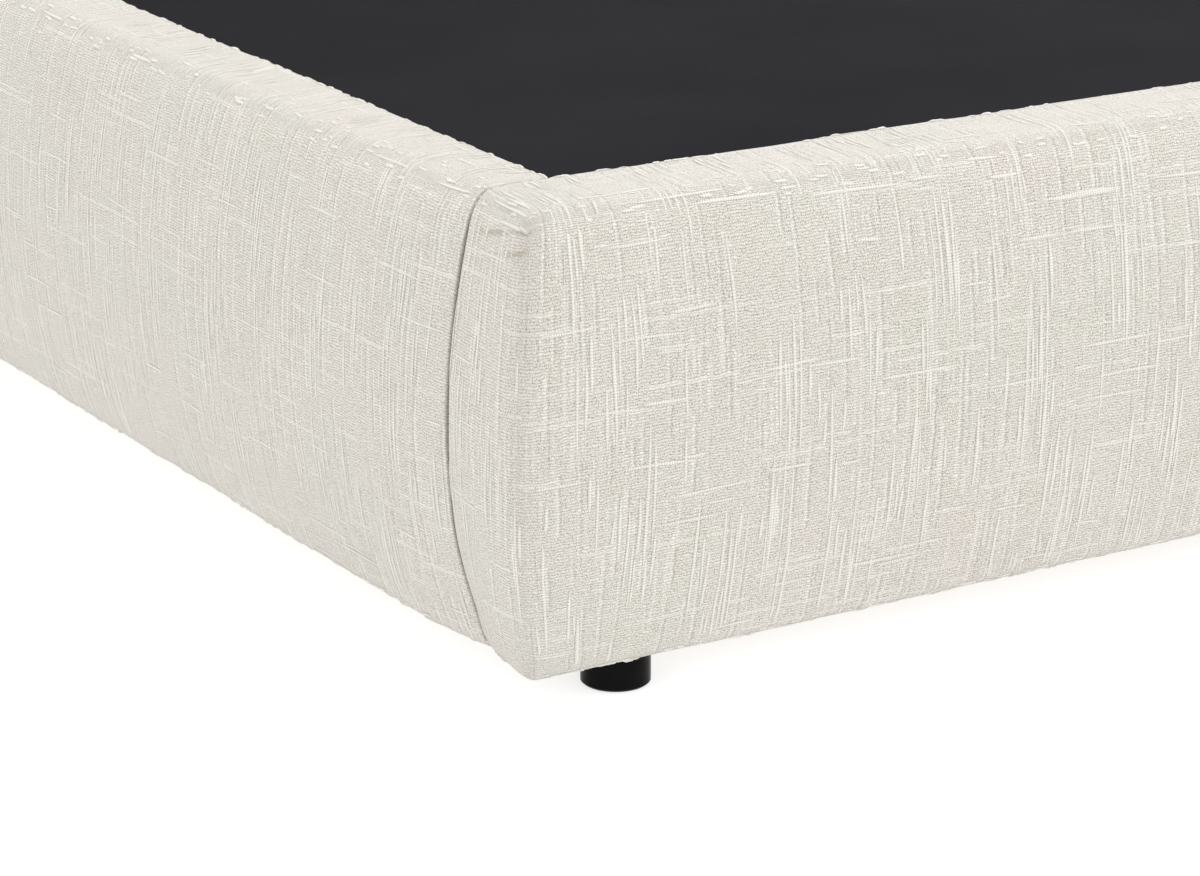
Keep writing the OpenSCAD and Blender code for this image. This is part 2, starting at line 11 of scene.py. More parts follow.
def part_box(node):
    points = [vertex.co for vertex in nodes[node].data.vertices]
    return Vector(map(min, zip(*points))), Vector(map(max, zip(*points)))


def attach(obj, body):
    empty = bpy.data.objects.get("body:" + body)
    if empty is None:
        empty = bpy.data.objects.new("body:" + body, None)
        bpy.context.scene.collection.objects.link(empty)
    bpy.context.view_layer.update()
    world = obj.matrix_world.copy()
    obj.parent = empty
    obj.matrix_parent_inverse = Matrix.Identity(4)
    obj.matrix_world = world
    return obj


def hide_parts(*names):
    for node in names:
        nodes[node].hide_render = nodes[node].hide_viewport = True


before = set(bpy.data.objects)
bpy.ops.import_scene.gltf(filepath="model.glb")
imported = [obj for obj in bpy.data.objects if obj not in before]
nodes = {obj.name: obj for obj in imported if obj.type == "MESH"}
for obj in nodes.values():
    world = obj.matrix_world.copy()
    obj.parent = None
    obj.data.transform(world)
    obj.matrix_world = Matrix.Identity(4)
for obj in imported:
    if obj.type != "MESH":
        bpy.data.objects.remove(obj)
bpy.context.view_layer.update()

# ---- Solid timber: headboard posts and cross rails, battens, ledgers, beam, legs, slats ----
# Planed softwood, sawn to length. Posts, rails and battens are glued and stapled into the
# padded pieces, ledgers, beam and slats carry the deck. Pale yellow, grain along each stick.


def add(tree, kind, inputs=None, **settings):
    """A shader node; its inputs are given as numbers, colours or other nodes' sockets."""
    made = tree.nodes.new(kind)
    for key, value in settings.items():
        setattr(made, key, value)
    for key, value in (inputs or {}).items():
        if isinstance(value, bpy.types.NodeSocket):
            tree.links.new(value, made.inputs[key])
        else:
            made.inputs[key].default_value = value
    return made


def maths(tree, operation, a, b=0.0, clamp=False):
    return add(tree, "ShaderNodeMath", {0: a, 1: b}, operation=operation, use_clamp=clamp).outputs[0]


def blend_colour(tree, share, first, second):
    mixed = add(tree, "ShaderNodeMix", {"Factor": share}, data_type="RGBA")
    for number, colour in ((6, first), (7, second)):
        if isinstance(colour, bpy.types.NodeSocket):
            tree.links.new(colour, mixed.inputs[number])
        else:
            mixed.inputs[number].default_value = (*colour, 1)
    return mixed.outputs[2]


def new_finish(name, roughness, **sockets):
    made = bpy.data.materials.new(name)
    made.use_nodes = True
    shader = made.node_tree.nodes["Principled BSDF"]
    shader.inputs["Roughness"].default_value = roughness
    for key, value in sockets.items():
        shader.inputs[key.replace("_", " ")].default_value = value
    return made, made.node_tree, shader


def bump(tree, shader, height, distance, strength=1.0):
    made = add(tree, "ShaderNodeBump", {"Strength": strength, "Distance": distance, "Height": height})
    tree.links.new(made.outputs[0], shader.inputs["Normal"])


def timber(name, along):
    """Softwood with its grain along one axis."""
    made, tree, shader = new_finish(name, 0.55, Specular_IOR_Level=0.3)
    place = add(tree, "ShaderNodeTexCoord").outputs["Object"]
    stretch = [55.0, 55.0, 55.0]
    stretch["XYZ".index(along)] = 2.2
    lengthwise = add(tree, "ShaderNodeMapping", {"Vector": place, "Scale": stretch}).outputs[0]
    grain = add(tree, "ShaderNodeTexNoise", {"Vector": lengthwise, "Scale": 1.0, "Detail": 6.0,
                                            "Roughness": 0.6, "Distortion": 0.4}).outputs[0]
    fibre = add(tree, "ShaderNodeTexNoise", {"Vector": lengthwise, "Scale": 6.0, "Detail": 3.0}).outputs[0]
    rings = maths(tree, "PINGPONG", maths(tree, "MULTIPLY", grain, 7.0), 1.0)
    colour = blend_colour(tree, rings, (0.66, 0.47, 0.27), (0.50, 0.31, 0.15))
    colour = blend_colour(tree, maths(tree, "MULTIPLY", fibre, 0.35), colour, (0.74, 0.58, 0.38))
    tree.links.new(colour, shader.inputs["Base Color"])
    bump(tree, shader, fibre, 0.0004, 0.6)
    return made


def dress(finish, slot, *names):
    """Gives CAD nodes their finish."""
    for name in names:
        node = nodes[name]
        node.data.materials.clear()
        node.data.materials.append(finish)


dress(timber("timber_along_z", "Z"), "timber", "headboard_left_post", "headboard_right_post",
      "centre_leg_foot", "centre_leg_middle", "centre_leg_head")
dress(timber("timber_along_x", "X"), "timber", "headboard_top_rail", "headboard_middle_rail",
      "headboard_bottom_rail", "headboard_spacers", "foot_rail_battens", "foot_ledger", "head_ledger",
      "slats_foot_half", "slats_head_half")
dress(timber("timber_along_y", "Y"), "timber", "left_rail_battens", "right_rail_battens",
      "left_ledger", "right_ledger", "centre_beam")

# ---- Plywood: the boards of the rail boxes, the headboard panel and the deck panels ----
# Poplar plywood with a pale rotary-cut face. The boards are stapled to their battens and
# posts under the foam, and the deck panels lie on the slats.

ply, tree, shader = new_finish("plywood", 0.6, Specular_IOR_Level=0.25)
place = add(tree, "ShaderNodeTexCoord").outputs["Object"]
face = add(tree, "ShaderNodeMapping", {"Vector": place, "Scale": (3.0, 3.0, 14.0)}).outputs[0]
figure = add(tree, "ShaderNodeTexNoise", {"Vector": face, "Scale": 1.0, "Detail": 8.0, "Roughness": 0.65,
                                         "Distortion": 1.2}).outputs[0]
pores = add(tree, "ShaderNodeTexNoise", {"Vector": face, "Scale": 40.0, "Detail": 2.0}).outputs[0]
swirl = maths(tree, "PINGPONG", maths(tree, "MULTIPLY", figure, 9.0), 1.0)
colour = blend_colour(tree, swirl, (0.62, 0.46, 0.28), (0.49, 0.34, 0.19))
colour = blend_colour(tree, maths(tree, "MULTIPLY", pores, 0.3), colour, (0.36, 0.24, 0.13))
tree.links.new(colour, shader.inputs["Base Color"])
bump(tree, shader, pores, 0.0003, 0.5)
dress(ply, "plywood", "headboard_front_panel", "headboard_lower_board",
      "left_rail_inner_board", "left_rail_outer_board", "right_rail_inner_board",
      "right_rail_outer_board", "foot_rail_inner_board", "foot_rail_outer_board",
      "deck_panel_foot", "deck_panel_head")

# ---- Steel: corner brackets and beam hangers, powder-coated black; bolts, nuts and screws, zinc ----
# The folded plates have the fine orange peel of powder coat. The fasteners that draw the bed
# together have a bright zinc finish.

coat, tree, shader = new_finish("powder_coat", 0.42, Metallic=0.0, Specular_IOR_Level=0.5)
place = add(tree, "ShaderNodeTexCoord").outputs["Object"]
peel = add(tree, "ShaderNodeTexNoise", {"Vector": place, "Scale": 900.0, "Detail": 2.0}).outputs[0]
dust = add(tree, "ShaderNodeTexNoise", {"Vector": place, "Scale": 14.0, "Detail": 5.0}).outputs[0]
tree.links.new(blend_colour(tree, dust, (0.012, 0.012, 0.013), (0.03, 0.03, 0.031)),
               shader.inputs["Base Color"])
bump(tree, shader, peel, 0.0002, 0.5)
dress(coat, "black_steel", "bracket_foot_left", "bracket_foot_right", "bracket_head_left",
      "bracket_head_right", "beam_hanger_foot", "beam_hanger_head")

zinc, tree, shader = new_finish("zinc_plate", 0.32, Metallic=1.0)
place = add(tree, "ShaderNodeTexCoord").outputs["Object"]
cloud = add(tree, "ShaderNodeTexNoise", {"Vector": place, "Scale": 260.0, "Detail": 4.0}).outputs[0]
tree.links.new(blend_colour(tree, cloud, (0.50, 0.50, 0.48), (0.72, 0.72, 0.70)),
               shader.inputs["Base Color"])
bump(tree, shader, cloud, 0.0001, 0.4)
dress(zinc, "zinc_steel", "bracket_bolts", "tee_nuts", "beam_hanger_bolts", "leg_inserts",
      "leg_dowel_bolts", "foot_screws", "slat_screws")

# ---- Padded rails: a foam-wrapped box in one piece of slub fabric ----
# The fabric is pulled over the foam and stapled inside. It leans back towards its top and
# bottom edges, and dives into a tight butt seam where a side rail meets the foot rail.

CROWN = 0.025        # how far the face leans back at its top and bottom edges
TOP_R = 0.022        # outer top edge
LOW_R = 0.012        # outer bottom edge
CORNER_R = 0.020     # upright corners at the foot
INNER_R = 0.004      # edge next to the mattress
SEAM_R = 0.0038      # turn of the fabric into a butt seam
SEAM_PULL = 0.0055   # how far the padding is drawn in at the seam
SEAM_REACH = 0.045   # how far along the rail that pull dies away
SEAM_EDGE = 0.012    # how far in from a seam the fabric is held and wavers
SEAM_DARK = 0.0030   # how far in from a seam it lies out of the light
STEP = 0.016         # grid of the fabric before it is smoothed
APART = 5.0          # from one piece to the next in the fabric's own coordinates
HEM = 0.038          # height of the hem at the foot of a cover's inner side
HEM_GAP = 0.004      # from a ledger up to the hem above it
YARN_SIDES = 5       # sides of a raised yarn's tube
YARN_STEP = 0.011    # from one section of that tube to the next
UPRIGHT_YARN = ((0.018, 0.085), (0.0021, 0.0037), (0.0004, 0.0009))    # least and most length,
LEVEL_YARN = ((0.02, 0.09), (0.0020, 0.0032), (0.0003, 0.0006))        # width and rise of each
NUB = ((0.006, 0.016), (0.0022, 0.0034), (0.0008, 0.0018))             # kind of raised yarn
YARN_SPACING = (0.0036, 0.0075)    # from one yarn of a bundle to the next
YARN_STAGGER = 0.025               # how far a bundle's yarns lie out of line
FULLNESS = 0.0015    # how far a rail's cover may be blown up
UNEVEN = 0.0008      # depth of a cover's slight unevenness


def stations(lo, hi, r_lo, r_hi, step=STEP):
    """Grid lines from lo to hi, closer together where the edges turn."""
    turn = (0.0, 0.12, 0.28, 0.48, 0.72, 1.0)
    a = [lo + r_lo * t for t in turn]
    b = [hi - r_hi * t for t in reversed(turn)]
    count = max(2, round((b[0] - a[-1]) / step))
    middle = np.linspace(a[-1], b[0], count + 1)[1:-1]
    return np.concatenate([a, middle, b])


def block(xs, ys, zs):
    """A closed block with grid lines at the given stations: its points and its faces,
    and for each face the axis that it is square to and the end that it is at."""
    axes, index, points, faces, sides = (xs, ys, zs), {}, [], [], []
    for a in range(3):
        b, c = (a + 1) % 3, (a + 2) % 3
        for end, level in ((-1, 0), (1, len(axes[a]) - 1)):
            for i in range(len(axes[b]) - 1):
                for j in range(len(axes[c]) - 1):
                    quad = []
                    for di, dj in ((0, 0), (1, 0), (1, 1), (0, 1)):
                        key = [0, 0, 0]
                        key[a], key[b], key[c] = level, i + di, j + dj
                        key = tuple(key)
                        if key not in index:
                            index[key] = len(points)
                            points.append([axes[n][key[n]] for n in range(3)])
                        quad.append(index[key])
                    faces.append(quad if end > 0 else quad[::-1])
                    sides.append((a, end))
    return np.array(points), faces, sides


def smooth(t):
    t = np.clip(t, 0, 1)
    return t * t * (3 - 2 * t)


def round_off(points, lo, hi, r):
    """Rounds a block's edges to radius r, which may differ from point to point."""
    r = np.asarray(r)[:, None]
    core = np.clip(points, np.array(lo) + r, np.array(hi) - r)
    out = points - core
    length = np.linalg.norm(out, axis=1, keepdims=True)
    reach = np.abs(out).max(axis=1, keepdims=True)
    return np.where(length > 1e-9, core + out * reach / np.maximum(length, 1e-9), points)


def tuck(points, distance, axes, middles, halves):
    """Turns the fabric in at an end: the section shrinks about its middle over the last few
    millimetres, as a quarter circle of radius SEAM_R."""
    gap = np.clip(SEAM_R - distance, 0, SEAM_R)
    inset = SEAM_R - np.sqrt(np.maximum(SEAM_R ** 2 - gap ** 2, 0))
    for axis, middle, half in zip(axes, middles, halves):
        points[:, axis] -= (points[:, axis] - middle) * inset / half


def waver(x, z):
    """The small unevenness of a butt seam, the same for both pieces that meet in it."""
    return np.array([0.0011 * noise.noise(Vector((a * 20, b * 26, 0.7)))
                     + 0.0006 * noise.noise(Vector((a * 60, b * 85, 4.7))) for a, b in zip(x, z)])


def puff(piece, held, cap, pressure=4.0, frames=20):
    """Blows the fabric up a little over its padding, pinned where held is 1. No point moves
    further than cap."""
    before = np.array([v.co for v in piece.data.vertices])
    group = piece.vertex_groups.new(name="held")
    for i, weight in enumerate(held):
        if weight > 0:
            group.add([i], float(weight), "REPLACE")
    cloth = piece.modifiers.new("Cloth", "CLOTH")
    cloth.settings.vertex_group_mass = "held"
    cloth.settings.effector_weights.gravity = 0
    cloth.settings.use_pressure = True
    cloth.settings.uniform_pressure_force = pressure
    cloth.settings.quality = 4
    cloth.point_cache.frame_end = frames
    scene = bpy.context.scene
    for number in range(1, frames + 1):
        scene.frame_set(number)
    evaluated = piece.evaluated_get(bpy.context.evaluated_depsgraph_get())
    moved = np.array([v.co for v in evaluated.data.vertices]) - before
    length = np.linalg.norm(moved, axis=1, keepdims=True)
    moved *= np.minimum(1, cap / np.maximum(length, 1e-9))
    piece.modifiers.remove(cloth)
    piece.vertex_groups.remove(group)
    piece.data.vertices.foreach_set("co", (before + moved).ravel())
    scene.frame_set(1)


def upholstered(name, points, faces, coordinates):
    """A mesh object with the fabric's own coordinates in metres as its UV map."""
    mesh = bpy.data.meshes.new(name)
    mesh.from_pydata([tuple(p) for p in points], [], faces)
    layer = mesh.uv_layers.new(name="cloth")
    layer.data.foreach_set("uv", np.asarray(coordinates, np.float32).ravel())
    mesh.shade_smooth()
    piece = bpy.data.objects.new(name, mesh)
    bpy.context.scene.collection.objects.link(piece)
    return piece


def settle(piece, seed, amount=UNEVEN):
    """One smoothing level, then the slight unevenness of hand-pulled fabric."""
    modifier = piece.modifiers.new("Smooth", "SUBSURF")
    modifier.levels = modifier.render_levels = 1
    bpy.context.view_layer.objects.active = piece
    piece.select_set(True)
    bpy.ops.object.modifier_apply(modifier=modifier.name)
    piece.select_set(False)
    shift = Vector((seed * 7.3, seed * 3.1, seed * 5.7))
    where = np.array([v.co for v in piece.data.vertices])
    outward = np.array([v.normal for v in piece.data.vertices])
    wave = np.array([noise.noise(Vector(p) * 9.0 + shift) + 0.45 * noise.noise(Vector(p) * 31.0 + shift)
                     for p in where])
    piece.data.vertices.foreach_set("co", (where + outward * wave[:, None] * amount).ravel())
    piece.data.update()


def shade_seam(piece, distance):
    """Marks how deep in a seam each point lies, from 0 in the open to 1 out of the light, for the shade
    that the fabric's colour paints into the seam. This painted shade is darkest down its face and nearly
    closed where it crosses the top."""
    depth = []
    for v in piece.data.vertices:
        down = 0.3 + 0.7 * float(smooth((Z_TOP - 0.008 - v.co.z) / 0.02))
        depth.append(float(smooth(1 - (distance(v.co) - 0.0002) / SEAM_DARK)) * down)
    layer = piece.data.attributes.new("painted_seam_shade", "FLOAT", "POINT")
    layer.data.foreach_set("value", np.array(depth, np.float32))


def yarns(piece, name, u_range, v_range, seed, edges, upright=950, level=220, nubs=110):
    """Raised slub yarns laid on the fabric: so many upright and level ones in a square metre,
    the upright ones often in bundles, and so many short nubs in a metre of each turned edge,
    for which edges gives the place, the spread and the share of a nub's full rise.
    Each is a fine tapered tube sunk a little into the fabric. Its second coordinate runs along
    it, so that its beads do too."""
    mesh = piece.data
    layer = mesh.uv_layers["cloth"].data
    spots = [Vector((*layer[n].uv, 0)) for n in range(len(mesh.loops))]
    loops = [list(p.loop_indices) for p in mesh.polygons]
    tree = BVHTree.FromPolygons(spots, loops)
    corner_of = [loop.vertex_index for loop in mesh.loops]
    places = [v.co.copy() for v in mesh.vertices]
    normals = [v.normal.copy() for v in mesh.vertices]
    draw = random.Random(seed)
    points, faces, coordinates = [], [], []

    def on_fabric(u, v):
        hit, _, index, away = tree.find_nearest((u, v, 0))
        if hit is None or away > 0.001:
            return None
        ring = loops[index]
        shares = poly_3d_calc([spots[n] for n in ring], hit)
        place, normal = Vector(), Vector()
        for share, n in zip(shares, ring):
            place += places[corner_of[n]] * share
            normal += normals[corner_of[n]] * share
        return place, normal.normalized()

    def lay(u, v, length, width, rise, lengthwise):
        count = max(4, round(length / YARN_STEP))
        drift = draw.uniform(-1, 1) * 0.0009
        line = []
        for n in range(count + 1):
            t = n / count
            along, aside = (t - 0.5) * length, drift * math.sin(t * 4 + u * 90)
            spot = (u + aside, v + along) if lengthwise else (u + along, v + aside)
            found = on_fabric(*spot)
            if found:
                line.append((*found, spot))
        if len(line) < 3:
            return
        first = len(points)
        for n, (place, normal, spot) in enumerate(line):
            ahead = line[min(n + 1, len(line) - 1)][0] - line[max(n - 1, 0)][0]
            across = ahead.cross(normal).normalized()
            t = n / (len(line) - 1)
            taper = max(0.12, min(1, 4 * t, 4 - 4 * t)) * draw.uniform(0.75, 1.2)
            for k in range(YARN_SIDES):
                angle = math.radians(90 + 360 / YARN_SIDES * k)
                points.append(place + across * (math.cos(angle) * width / 2 * taper)
                              + normal * ((math.sin(angle) * 0.6 + 0.1) * rise * taper))
                aside, along = spot if lengthwise else (spot[1], spot[0])
                coordinates.append((aside + 0.0004 * k, along))
        for n in range(len(line) - 1):
            ring = first + YARN_SIDES * n
            for k in range(YARN_SIDES):
                a, b = ring + k, ring + (k + 1) % YARN_SIDES
                faces.append((a, b, b + YARN_SIDES, a + YARN_SIDES))
        faces.append(tuple(first + k for k in reversed(range(YARN_SIDES))))
        faces.append(tuple(len(points) - YARN_SIDES + k for k in range(YARN_SIDES)))

    area = (u_range[1] - u_range[0]) * (v_range[1] - v_range[0])
    laid = 0
    while laid < upright * area:
        u, v = draw.uniform(*u_range), draw.uniform(*v_range)
        for _ in range(draw.choice((1, 1, 2, 3, 4))):
            length = draw.uniform(*UPRIGHT_YARN[0]) * draw.choice((1, 1, 1.5))
            width, rise = [draw.uniform(*span) for span in UPRIGHT_YARN[1:]]
            lay(u, v, length, width, rise, True)
            u += draw.uniform(*YARN_SPACING)
            v += draw.uniform(-YARN_STAGGER, YARN_STAGGER)
            laid += 1
    for _ in range(int(level * area)):
        u, v = draw.uniform(*u_range), draw.uniform(*v_range)
        length, width, rise = [draw.uniform(*span) for span in LEVEL_YARN]
        lay(u, v, length, width, rise, False)
    for edge, spread, share in edges:
        for _ in range(int(nubs * (u_range[1] - u_range[0]))):
            u, v = draw.uniform(*u_range), edge + draw.uniform(-spread, spread)
            length, width, rise = [draw.uniform(*span) for span in NUB]
            lay(u, v, length, width, rise * share, False)
    flat = [coordinates[n] for ring in faces for n in ring]
    return upholstered(name, points, faces, flat)


def hollow(piece, *boxes):
    """Cuts out the space that the boards take, and the opening between the stapled hems."""
    for lo, hi in boxes:
        bpy.ops.object.select_all(action="DESELECT")
        centre = [(a + b) / 2 for a, b in zip(lo, hi)]
        bpy.ops.mesh.primitive_cube_add(size=1, location=centre)
        cutter = bpy.context.object
        cutter.scale = [b - a for a, b in zip(lo, hi)]
        bpy.ops.object.transform_apply(location=True, scale=True)
        cut = piece.modifiers.new("Hollow", "BOOLEAN")
        cut.operation, cut.object, cut.solver = "DIFFERENCE", cutter, "EXACT"
        bpy.context.view_layer.objects.active = piece
        bpy.ops.object.modifier_apply(modifier=cut.name)
        bpy.data.objects.remove(cutter)


foot_lo, foot_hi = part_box("foot_rail_cover")
left_lo, left_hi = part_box("left_rail_cover")
X_IN, X_OUT = -left_hi.x, -left_lo.x    # inner and outer face of a side rail
Z_LOW, Z_TOP = foot_lo.z, foot_hi.z
Z_HALF = (Z_TOP - Z_LOW) / 2
SIDE_T = X_OUT - X_IN
FOOT_T = foot_hi.y - foot_lo.y


def lean(z):
    """Share of the crown at a height: none at the fullest line, all at the edges."""
    return ((z - Z_LOW - Z_HALF) / Z_HALF) ** 2


def seam_pull(distance, z):
    """How far the padding is drawn in at a distance from the butt seam."""
    low = smooth((Z_LOW + 0.10 - z) / 0.10)
    return (SEAM_PULL + 0.007 * low) * np.exp(-np.abs(distance) / SEAM_REACH)


def rail_radius(outward, z):
    """Edge radius at a share of the thickness outward and at a height."""
    up = (z - Z_LOW) / (2 * Z_HALF)
    outer = np.where(up > 0.5, CORNER_R + (TOP_R - CORNER_R) * smooth(up * 2 - 1),
                     CORNER_R + (LOW_R - CORNER_R) * smooth(1 - up * 2))
    return INNER_R + (outer - INNER_R) * smooth((outward - 0.1) / 0.6)


def boards_box(name):
    """The box round a rail's boards."""
    boxes = [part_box(f"{name}_{part}") for part in ("inner_board", "outer_board")]
    lo = Vector([min(b[0][n] for b in boxes) for n in range(3)])
    hi = Vector([max(b[1][n] for b in boxes) for n in range(3)])
    return lo, hi


def rail_yarns(piece, name, u_range, thickness, seed):
    """A rail's yarns, from under its bottom edge, up its face, over its top and down inside.
    Nubs stand along its bottom edge and both of its top edges."""
    edges = ((Z_LOW, 0.007, 1), (Z_TOP + 0.010, 0.022, 0.35), (Z_TOP + thickness, 0.005, 1))
    v_range = (Z_LOW - 0.03, Z_TOP + thickness + 0.07)
    return yarns(piece, name + "_slub_yarns", u_range, v_range, seed, edges)


def side_rail(side, seed):
    """The cover of the left (-1) or right (+1) rail."""
    name = ("left" if side < 0 else "right") + "_rail"
    lo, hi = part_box(name + "_cover")
    y0, y1 = lo.y, hi.y
    xs = stations(X_IN, X_OUT, INNER_R, TOP_R)
    ys = stations(y0, y1, SEAM_R, SEAM_R)
    zs = stations(Z_LOW, Z_TOP, LOW_R, TOP_R)
    points, faces, sides = block(xs, ys, zs)
    flat = points.copy()
    outward = (flat[:, 0] - X_IN) / SIDE_T
    z = flat[:, 2]
    # The ends turn in tightly, the long edges softly.
    near_end = np.minimum(flat[:, 1] - y0, y1 - flat[:, 1])
    points = round_off(points, (X_IN, y0 - 1, Z_LOW), (X_OUT, y1 + 1, Z_TOP), rail_radius(outward, z))
    tuck(points, near_end, (0, 2), (X_IN + SIDE_T / 2, Z_LOW + Z_HALF), (SIDE_T / 2, Z_HALF))
    points[:, 1] += waver(points[:, 0], points[:, 2]) * smooth(1 - near_end / SEAM_EDGE)
    pull = CROWN * lean(points[:, 2]) + seam_pull(points[:, 1] - y0, points[:, 2])
    pull += seam_pull(points[:, 1] - y1, points[:, 2]) * 0.6
    share = (points[:, 0] - X_IN) / SIDE_T
    points[:, 0] -= pull * np.clip(share, 0, 1)
    coordinates = []
    for quad, (axis, end) in zip(faces, sides):
        for n in quad:
            x, y, zz = flat[n]
            if axis == 0:
                v = zz if end > 0 else 2 * Z_TOP + SIDE_T - zz
            elif axis == 2:
                v = (Z_TOP + X_OUT - x) if end > 0 else (Z_LOW - (X_OUT - x))
            else:
                v = zz
            u = y if axis != 1 else y + end * (X_OUT - x)
            coordinates.append((u * -side + APART * seed, v))
    if side < 0:
        points[:, 0] *= -1
        faces = [quad[::-1] for quad in faces]
        rows = np.array(coordinates).reshape(-1, 4, 2)[:, ::-1]
        coordinates = rows.reshape(-1, 2)
    piece = upholstered(name + "_upholstery", points, faces, coordinates)
    held = np.where(outward < 0.3, 1.0, 0.0)
    held = np.maximum(held, (near_end < SEAM_EDGE) * 1.0)
    held = np.maximum(held, (z < Z_LOW + 0.004) * 1.0)
    puff(piece, held, FULLNESS)
    settle(piece, seed)
    shade_seam(piece, lambda place: min(place.y - y0, y1 - place.y))
    ends = sorted(y * -side + APART * seed for y in (y0, y1))
    slubs = rail_yarns(piece, name, ends, SIDE_T, seed)
    board = boards_box(name)
    hem_low, hem_top = lo.z + HEM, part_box("left_ledger")[1].z + HEM_GAP
    inner = sorted((side * (X_IN - 0.01), side * (X_IN + 0.004)))
    hollow(piece, ((board[0].x, y0 - 0.01, board[0].z), (board[1].x, y1 + 0.01, board[1].z)),
           ((inner[0], y0 - 0.01, hem_low), (inner[1], y1 + 0.01, hem_top)))
    return piece, slubs


def foot_rail(seed):
    """The cover of the foot rail, which turns both corners and meets the side rails."""
    lo, hi = foot_lo, foot_hi
    xs = stations(lo.x, hi.x, CORNER_R, CORNER_R)
    ys = stations(lo.y, hi.y, TOP_R, SEAM_R)
    zs = stations(lo.z, hi.z, LOW_R, TOP_R)
    points, faces, sides = block(xs, ys, zs)
    flat = points.copy()
    outward = (hi.y - flat[:, 1]) / FOOT_T
    points = round_off(points, lo, hi + Vector((0, 1, 0)), rail_radius(np.ones(len(flat)), flat[:, 2]))
    tuck(points, hi.y - flat[:, 1], (0, 2), (0, Z_LOW + Z_HALF), (hi.x, Z_HALF))
    returns = smooth((np.abs(points[:, 0]) - X_IN + 0.006) / 0.006)
    points[:, 1] += (waver(np.abs(points[:, 0]), points[:, 2]) * returns
                     * smooth(1 - (hi.y - flat[:, 1]) / SEAM_EDGE))
    z = points[:, 2]
    points[:, 1] += CROWN * lean(z) * np.clip((hi.y - points[:, 1]) / FOOT_T, 0, 1)
    share = np.clip((np.abs(points[:, 0]) - X_IN) / SIDE_T, 0, 1)
    pull = CROWN * lean(z) + seam_pull(hi.y - points[:, 1], z)
    points[:, 0] -= np.sign(points[:, 0]) * pull * share
    coordinates = []
    for quad, (axis, end) in zip(faces, sides):
        for n in quad:
            x, y, zz = flat[n]
            if axis == 1:
                u, v = (x, zz) if end < 0 else (x, 2 * Z_TOP + FOOT_T - zz)
            elif axis == 2:
                u = x
                v = (Z_TOP + y - lo.y) if end > 0 else (Z_LOW - (y - lo.y))
            else:
                u, v = end * (X_OUT + y - lo.y), zz
            coordinates.append((u + APART * seed, v))
    piece = upholstered("foot_rail_upholstery", points, faces, coordinates)
    held = np.where(outward < 0.08, 1.0, 0.0)
    held = np.maximum(held, (flat[:, 2] < lo.z + 0.004) * 1.0)
    puff(piece, held, FULLNESS)
    settle(piece, seed)
    shade_seam(piece, lambda place: hi.y - place.y if abs(place.x) > X_IN else 1.0)
    reach = X_OUT + FOOT_T
    slubs = rail_yarns(piece, "foot_rail", (APART * seed - reach, APART * seed + reach), FOOT_T, seed)
    board = boards_box("foot_rail")
    hem_low, hem_top = lo.z + HEM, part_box("foot_ledger")[1].z + HEM_GAP
    window = X_IN + 0.002
    hollow(piece, (board[0], board[1]),
           ((-window, hi.y - 0.004, hem_low), (window, hi.y + 0.01, hem_top)))
    return piece, slubs


FOOT_SEED = 3

left_rail, left_slubs = side_rail(-1, 1)
right_rail, right_slubs = side_rail(1, 2)
foot, foot_slubs = foot_rail(FOOT_SEED)

# The fabric: an ivory chenille with fine weft ribs, a dotted grain where the warp crosses
# them, and raised paler slub yarns that run mostly upright, singly and in bundles.

RIB = 0.0021         # from one rib to the next
GRAIN = 0.0019       # from one warp crossing to the next


def slub_field(tree, u, v, cell_u, cell_v, half_width, half_length, chance, seed):
    """How much a point lies on a slub yarn: one yarn at most in each cell."""
    scaled = add(tree, "ShaderNodeCombineXYZ", {0: maths(tree, "DIVIDE", u, cell_u),
                                                1: maths(tree, "DIVIDE", v, cell_v),
                                                2: float(seed)}).outputs[0]
    cells = add(tree, "ShaderNodeTexVoronoi", {"Vector": scaled, "Scale": 1.0, "Randomness": 1.0},
                voronoi_dimensions="3D")
    away = add(tree, "ShaderNodeVectorMath", {0: scaled, 1: cells.outputs["Position"]},
               operation="SUBTRACT").outputs[0]
    split = add(tree, "ShaderNodeSeparateXYZ", {0: away})
    pick = add(tree, "ShaderNodeSeparateColor", {0: cells.outputs["Color"]})
    across = maths(tree, "ABSOLUTE", maths(tree, "MULTIPLY", split.outputs[0], cell_u))
    along = maths(tree, "ABSOLUTE", maths(tree, "MULTIPLY", split.outputs[1], cell_v))
    width = maths(tree, "MULTIPLY", maths(tree, "ADD", pick.outputs[0], 0.5), half_width)
    length = maths(tree, "MULTIPLY", maths(tree, "ADD", pick.outputs[1], 0.4), half_length)
    inside = maths(tree, "SUBTRACT", 1.0, maths(tree, "DIVIDE", across, width), clamp=True)
    ends = maths(tree, "SUBTRACT", 1.0, maths(tree, "DIVIDE", along, length), clamp=True)
    ends = maths(tree, "MULTIPLY", ends, 5.0, clamp=True)
    there = maths(tree, "LESS_THAN", pick.outputs[2], chance)
    return maths(tree, "MULTIPLY", maths(tree, "MULTIPLY", inside, ends), there)


